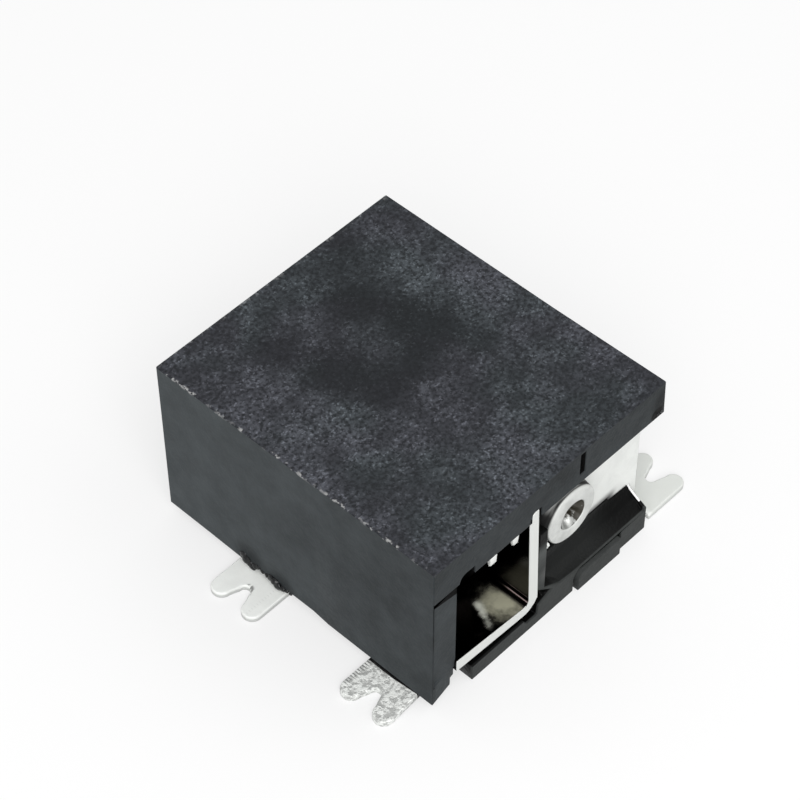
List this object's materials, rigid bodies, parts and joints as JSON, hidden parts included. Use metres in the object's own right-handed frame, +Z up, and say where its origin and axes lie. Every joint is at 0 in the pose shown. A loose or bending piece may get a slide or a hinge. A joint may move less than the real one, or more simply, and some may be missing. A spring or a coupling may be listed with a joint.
{
  "type": "dc barrel jack",
  "caption": "Low surface-mount power socket: moulded housing, riveted pin in a plug bore, forked solder tails.",
  "frame": {"origin": "on the board plane, under the middle of the housing", "axes": "+Z up from the board; -Y out of the plug mouth; +X towards the sleeve spring"},
  "size_m": [0.0148, 0.0127, 0.0074],
  "materials": {
    "housing_plastic": "black moulded nylon, fine mottled grain",
    "carrier_plastic": "black moulded nylon, a little smoother",
    "pin_metal": "turned brass, bright tin plate",
    "terminal_metal": "stamped brass, smooth satin tin plate",
    "spring_metal": "stamped spring alloy, polished tin plate, pitted solder tail",
    "switch_metal": "stamped spring alloy, satin tin plate",
    "anchor_metal": "stamped brass, satin tin plate"
  },
  "bodies": {
    "root": {"housing": "housing_plastic", "carrier": "carrier_plastic", "center_pin": "pin_metal", "pin_terminal": "terminal_metal", "sleeve_contact": "spring_metal", "switch_contact": "switch_metal", "anchor_tab": "anchor_metal"}
  },
  "joints": []
}
